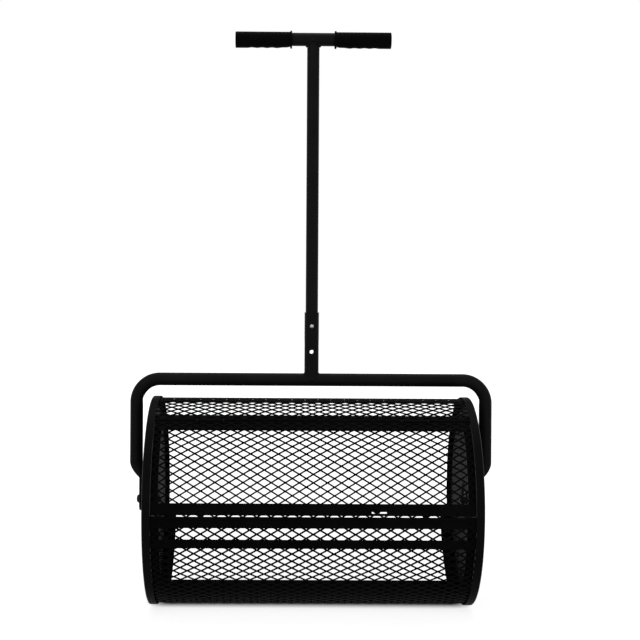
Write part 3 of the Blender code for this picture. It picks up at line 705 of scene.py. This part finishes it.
def yoke_half():
    """Cross-sections from the left plate's foot to the end of the left bend."""
    inner_face = YOKE_HALF_WIDTH - 2 * TUBE_RADIUS
    half_thick = PLATE_THICK / 2
    up = Vector((0, 0, 1))
    rows = []

    def upright(thick, z, wide, squareness):
        rows.append((Vector((-(inner_face + thick), 0, z)), up, thick, wide, squareness, 0.0))

    foot = AXLE_HEIGHT - PLATE_BOTTOM
    for step in range(1, FOOT_STEPS + 1):
        share = max(1 - math.cos(math.pi * step / (2 * FOOT_STEPS)), LEAST_FOOT_SHARE)
        z = PLATE_BOTTOM + foot * share
        reach = math.sqrt(max(foot**2 - (AXLE_HEIGHT - z) ** 2, 0))
        upright(half_thick, z, min(reach, PLATE_HALF_WIDTH), PLATE_SQUARENESS)
    upright(half_thick, PLATE_TOP, PLATE_HALF_WIDTH, PLATE_SQUARENESS)
    for step in range(1, TAPER_STEPS + 1):
        share = step / TAPER_STEPS
        ease = share * share * (3 - 2 * share)
        swell = 1 - (1 - share) ** TAPER_POWER
        thick = half_thick + (TUBE_RADIUS - half_thick) * swell
        wide = PLATE_HALF_WIDTH + (TUBE_RADIUS - PLATE_HALF_WIDTH) * ease
        z = PLATE_TOP + (FULL_TUBE_FROM - PLATE_TOP) * share
        squareness = PLATE_SQUARENESS + (TUBE_SQUARENESS - PLATE_SQUARENESS) * ease
        upright(thick, z, wide, squareness)

    centre = Vector(
        (BEND_RADIUS + TUBE_RADIUS - YOKE_HALF_WIDTH, 0, YOKE_TOP - BEND_RADIUS)
    )
    for step in range(-STEPS_PAST_BEND, BEND_STEPS + STEPS_PAST_BEND + 1):
        a = math.radians(90 * step / BEND_STEPS)
        bend = min(max(a, 0), math.pi / 2)
        spot = centre + BEND_RADIUS * Vector((-math.cos(bend), 0, math.sin(bend)))
        along = Vector((math.sin(bend), 0, math.cos(bend)))
        spot += along * (BEND_RADIUS * (a - bend))
        pinch = PINCH_DEPTH * math.exp(-(((a - PINCH_TURN) / PINCH_SPREAD) ** 2))
        rows.append((spot, along, TUBE_RADIUS, TUBE_RADIUS, TUBE_SQUARENESS, pinch))
    return rows


half = yoke_half()
mirrored = [
    (Vector((-c.x, 0, c.z)), Vector((d.x, 0, -d.z)), *rest) for c, d, *rest in reversed(half)
]
sections = [yoke_section(*row) for row in half + mirrored]
add_piece("bent_yoke_tube", lofted(sections), "frame", "powder_coat", ["yoke"], sharp=50)


# Weld beads

def saddle_path(radius, tube_radius, height, sign):
    """Where an upright tube meets a tube along X, above it (+1) or below it (-1)."""
    path = []
    for k in range(BEAD_POINTS):
        a = math.tau * k / BEAD_POINTS
        x, y = radius * math.cos(a), radius * math.sin(a)
        rise = math.sqrt(max(tube_radius**2 - y * y, 0.0))
        path.append(Vector((x, y, height + sign * rise)))
    return path


def bead(name, path, radius):
    """A weld bead along a closed path, with the small waves that a weld leaves."""
    rings = []
    count = len(path)
    for k in range(count):
        along = (path[(k + 1) % count] - path[k - 1]).normalized()
        out = along.cross(Vector((0.3, 0.2, 1.0))).normalized()
        up = along.cross(out)
        size = radius * (1 + BEAD_RIPPLE * math.sin(math.tau * BEAD_RIPPLES * k / count))
        ring = []
        for j in range(BEAD_SIDES):
            a = math.tau * j / BEAD_SIDES
            ring.append(path[k] + out * (size * math.cos(a)) + up * (size * math.sin(a)))
        rings.append(ring)
    add_piece(name, lofted(rings, closed=True), "frame", "powder_coat")


bead(
    "socket_weld",
    saddle_path(SOCKET_OUTER - BEAD_SINK, TUBE_RADIUS, YOKE_TOP, 1),
    SOCKET_BEAD_RADIUS,
)
bead(
    "handle_weld",
    saddle_path(POLE_OUTER + BEAD_SINK, T_BAR_OUTER, T_BAR_HEIGHT, -1),
    HANDLE_BEAD_RADIUS,
)


# Grips

def grip_ring(side, x, radius, drop=0.0, wave=0.0):
    """A section of the grip, with a finger wave on its underside."""
    ring = []
    for k in range(GRIP_SIDES):
        a = math.tau * k / GRIP_SIDES
        below = max(-math.sin(a), 0.0) ** 2
        r = radius - wave * below
        y, z = r * math.cos(a), r * math.sin(a) - drop
        ring.append(Vector((side * x, y, T_BAR_HEIGHT + z)))
    return ring


def grip_wave(along):
    """How far the underside is drawn in: the finger hollows, and the neck by the flange."""
    dent = 0.0
    if along < LAST_FINGER:
        dent = FINGER_DEPTH / 2 * (1 + math.cos(math.tau * along / FINGER_LENGTH))
    neck = max(1 - along / NECK_LENGTH, 0.0)
    return dent + NECK_RISE * neck * neck * (3 - 2 * neck)


for side, word in SIDES:
    bore = T_BAR_OUTER + GRIP_BORE_GAP
    rings = [grip_ring(side, x, bore) for x in (GRIP_END - GRIP_END_WALL, GRIP_START)]
    for ahead, inset in FLANGE_RINGS:
        rings.append(grip_ring(side, GRIP_START + ahead, FLANGE_RADIUS - inset, GRIP_DROP / 2))
    body_length = GRIP_END - GRIP_START - END_ROUNDING - GRIP_BODY_START
    for step in range(GRIP_STATIONS + 1):
        along = GRIP_BODY_START + body_length * step / GRIP_STATIONS
        x = GRIP_START + along
        rings.append(grip_ring(side, x, GRIP_RADIUS, GRIP_DROP, grip_wave(along)))
    for back, inset in END_RINGS:
        rings.append(grip_ring(side, GRIP_END - back, GRIP_RADIUS - inset, GRIP_DROP))
    add_piece(
        word + "_moulded_grip",
        lofted(rings),
        "frame",
        "grip_rubber",
        [word + "_grip"],
        sharp=40,
    )


# Axle bolts

def hexagon_radius(angle, flats):
    turn = (angle + math.pi / 6) % (math.pi / 3) - math.pi / 6
    return flats / 2 / math.cos(turn)


def button_bolt(side, name, replaced):
    """A shank, and a domed head with a hexagon socket."""
    rings = []

    def ring(x, radius_at):
        row = []
        for k in range(BOLT_SIDES):
            a = math.tau * k / BOLT_SIDES
            r = radius_at(a)
            row.append(Vector((side * x, r * math.cos(a), AXLE_HEIGHT + r * math.sin(a))))
        rings.append(row)

    def round_ring(x, radius):
        ring(x, lambda a: radius)

    def six_sided_ring(x, flats):
        ring(x, lambda a: hexagon_radius(a, flats))

    round_ring(BOLT_TIP, BOLT_RADIUS - BOLT_CHAMFER)
    round_ring(BOLT_TIP + BOLT_CHAMFER, BOLT_RADIUS)
    round_ring(HEAD_START, BOLT_RADIUS)
    round_ring(HEAD_START, HEAD_RADIUS - HEAD_EDGE)
    round_ring(HEAD_START + HEAD_EDGE, HEAD_RADIUS)
    for step in range(1, DOME_STEPS + 1):
        a = math.pi / 2 * step / DOME_STEPS
        rise = (HEAD_END - HEAD_START - HEAD_EDGE) * math.sin(a)
        radius = HEAD_TOP_RADIUS + (HEAD_RADIUS - HEAD_TOP_RADIUS) * math.cos(a)
        round_ring(HEAD_START + HEAD_EDGE + rise, radius)
    six_sided_ring(HEAD_END - KEY_MOUTH_DEPTH, KEY_MOUTH_FLATS)
    six_sided_ring(HEAD_END - KEY_CHAMFER_DEPTH, KEY_FLATS)
    six_sided_ring(HEAD_END - KEY_DEPTH, KEY_FLATS)
    round_ring(HEAD_END - KEY_TIP_DEPTH, KEY_TIP_RADIUS)
    add_piece(name, lofted(rings), "frame", "dark_zinc", replaced, sharp=28)


for side, word in SIDES:
    button_bolt(side, word + "_button_bolt", [word + "_axle_bolt"])


# Floor, light and camera

def arithmetic(tree, operation, first, second=None):
    """A Math node on one socket, or on a socket and a number or another socket."""
    node = tree.nodes.new("ShaderNodeMath")
    node.operation = operation
    tree.links.new(first, node.inputs[0])
    if isinstance(second, float):
        node.inputs[1].default_value = second
    elif second is not None:
        tree.links.new(second, node.inputs[1])
    return node.outputs[0]


def light_path_switch(tree, strength_seen, strength_other):
    """The strength for rays from the camera, gloss and glass, and another one for the rest."""
    path = tree.nodes.new("ShaderNodeLightPath").outputs
    seen = arithmetic(tree, "MAXIMUM", path["Is Camera Ray"], path["Is Glossy Ray"])
    seen = arithmetic(tree, "MAXIMUM", seen, path["Is Transmission Ray"])
    return ranged(tree, seen, strength_other, strength_seen, 0.0, 1.0)


def floor_glow(tree, place):
    """How white the floor is seen: least along the drum's contact line, where it paints a dark
    contact shadow, and most far away.
    """
    split = tree.nodes.new("ShaderNodeSeparateXYZ")
    tree.links.new(place, split.inputs[0])
    x, y = split.outputs["X"], split.outputs["Y"]
    beyond = arithmetic(tree, "SUBTRACT", arithmetic(tree, "ABSOLUTE", x), CONTACT_HALF)
    beside = arithmetic(tree, "MAXIMUM", beyond, 0.0)
    square = arithmetic(
        tree,
        "ADD",
        arithmetic(tree, "MULTIPLY", beside, beside),
        arithmetic(tree, "MULTIPLY", y, y),
    )
    near = ranged(tree, arithmetic(tree, "SQRT", square), *NEAR_GLOW, *NEAR_DISTANCES)
    distance = tree.nodes.new("ShaderNodeVectorMath")
    distance.operation = "LENGTH"
    tree.links.new(place, distance.inputs[0])
    far = ranged(tree, distance.outputs["Value"], *FAR_GLOW, *FAR_DISTANCES)
    return arithmetic(tree, "ADD", near, far)


def make_floor():
    corners = [(-1, -1), (1, -1), (1, 1), (-1, 1)]
    verts = [(x * FLOOR_HALF, y * FLOOR_HALF, -FLOOR_DROP) for x, y in corners]
    mesh = bpy.data.meshes.new("floor")
    mesh.from_pydata(verts, [], [(0, 1, 2, 3)])
    floor = bpy.data.objects.new("floor", mesh)
    bpy.context.scene.collection.objects.link(floor)
    material = bpy.data.materials.new("floor_paper")
    material.use_nodes = True
    tree = material.node_tree
    tree.nodes.clear()
    diffuse = tree.nodes.new("ShaderNodeBsdfDiffuse")
    diffuse.inputs["Color"].default_value = (FLOOR_GREY, FLOOR_GREY, FLOOR_GREY, 1)
    glow = tree.nodes.new("ShaderNodeEmission")
    place = tree.nodes.new("ShaderNodeTexCoord")
    whiter = floor_glow(tree, place.outputs["Object"])
    seen = light_path_switch(tree, 1.0, 0.0)
    tree.links.new(arithmetic(tree, "MULTIPLY", seen, whiter), glow.inputs["Strength"])
    both = tree.nodes.new("ShaderNodeAddShader")
    tree.links.new(diffuse.outputs[0], both.inputs[0])
    tree.links.new(glow.outputs[0], both.inputs[1])
    output = tree.nodes.new("ShaderNodeOutputMaterial")
    tree.links.new(both.outputs[0], output.inputs["Surface"])
    mesh.materials.append(material)


def make_world():
    world = bpy.data.worlds.new("pale_studio")
    bpy.context.scene.world = world
    world.use_nodes = True
    background = world.node_tree.nodes["Background"]
    background.inputs["Color"].default_value = (1, 1, 1, 1)
    strength = light_path_switch(world.node_tree, 1.0, WORLD_LIGHT)
    world.node_tree.links.new(strength, background.inputs["Strength"])


def soft_light(name, place, target, size, power):
    lamp = bpy.data.lights.new(name, "AREA")
    lamp.shape = "SQUARE"
    lamp.size = size
    lamp.energy = power
    light = bpy.data.objects.new(name, lamp)
    light.location = place
    toward = Vector(target) - Vector(place)
    light.rotation_euler = toward.to_track_quat("-Z", "Y").to_euler()
    bpy.context.scene.collection.objects.link(light)


def make_camera():
    data = bpy.data.cameras.new("camera")
    data.sensor_fit = "HORIZONTAL"
    data.sensor_width = SENSOR_WIDTH
    data.lens = CAMERA_LENS
    data.shift_x = CAMERA_SHIFT
    camera = bpy.data.objects.new("camera", data)
    yaw = Matrix.Rotation(math.radians(CAMERA_YAW), 4, "Z")
    level = Matrix.Rotation(math.radians(90), 4, "X")
    roll = Matrix.Rotation(math.radians(CAMERA_ROLL), 4, "Z")
    place = Matrix.Translation(Vector(CAMERA_PLACE))
    camera.matrix_world = place @ yaw @ level @ roll
    bpy.context.scene.collection.objects.link(camera)
    bpy.context.scene.camera = camera


make_floor()
make_world()
for light in LIGHTS:
    soft_light(*light)
make_camera()
bpy.context.scene.view_settings.view_transform = "Standard"
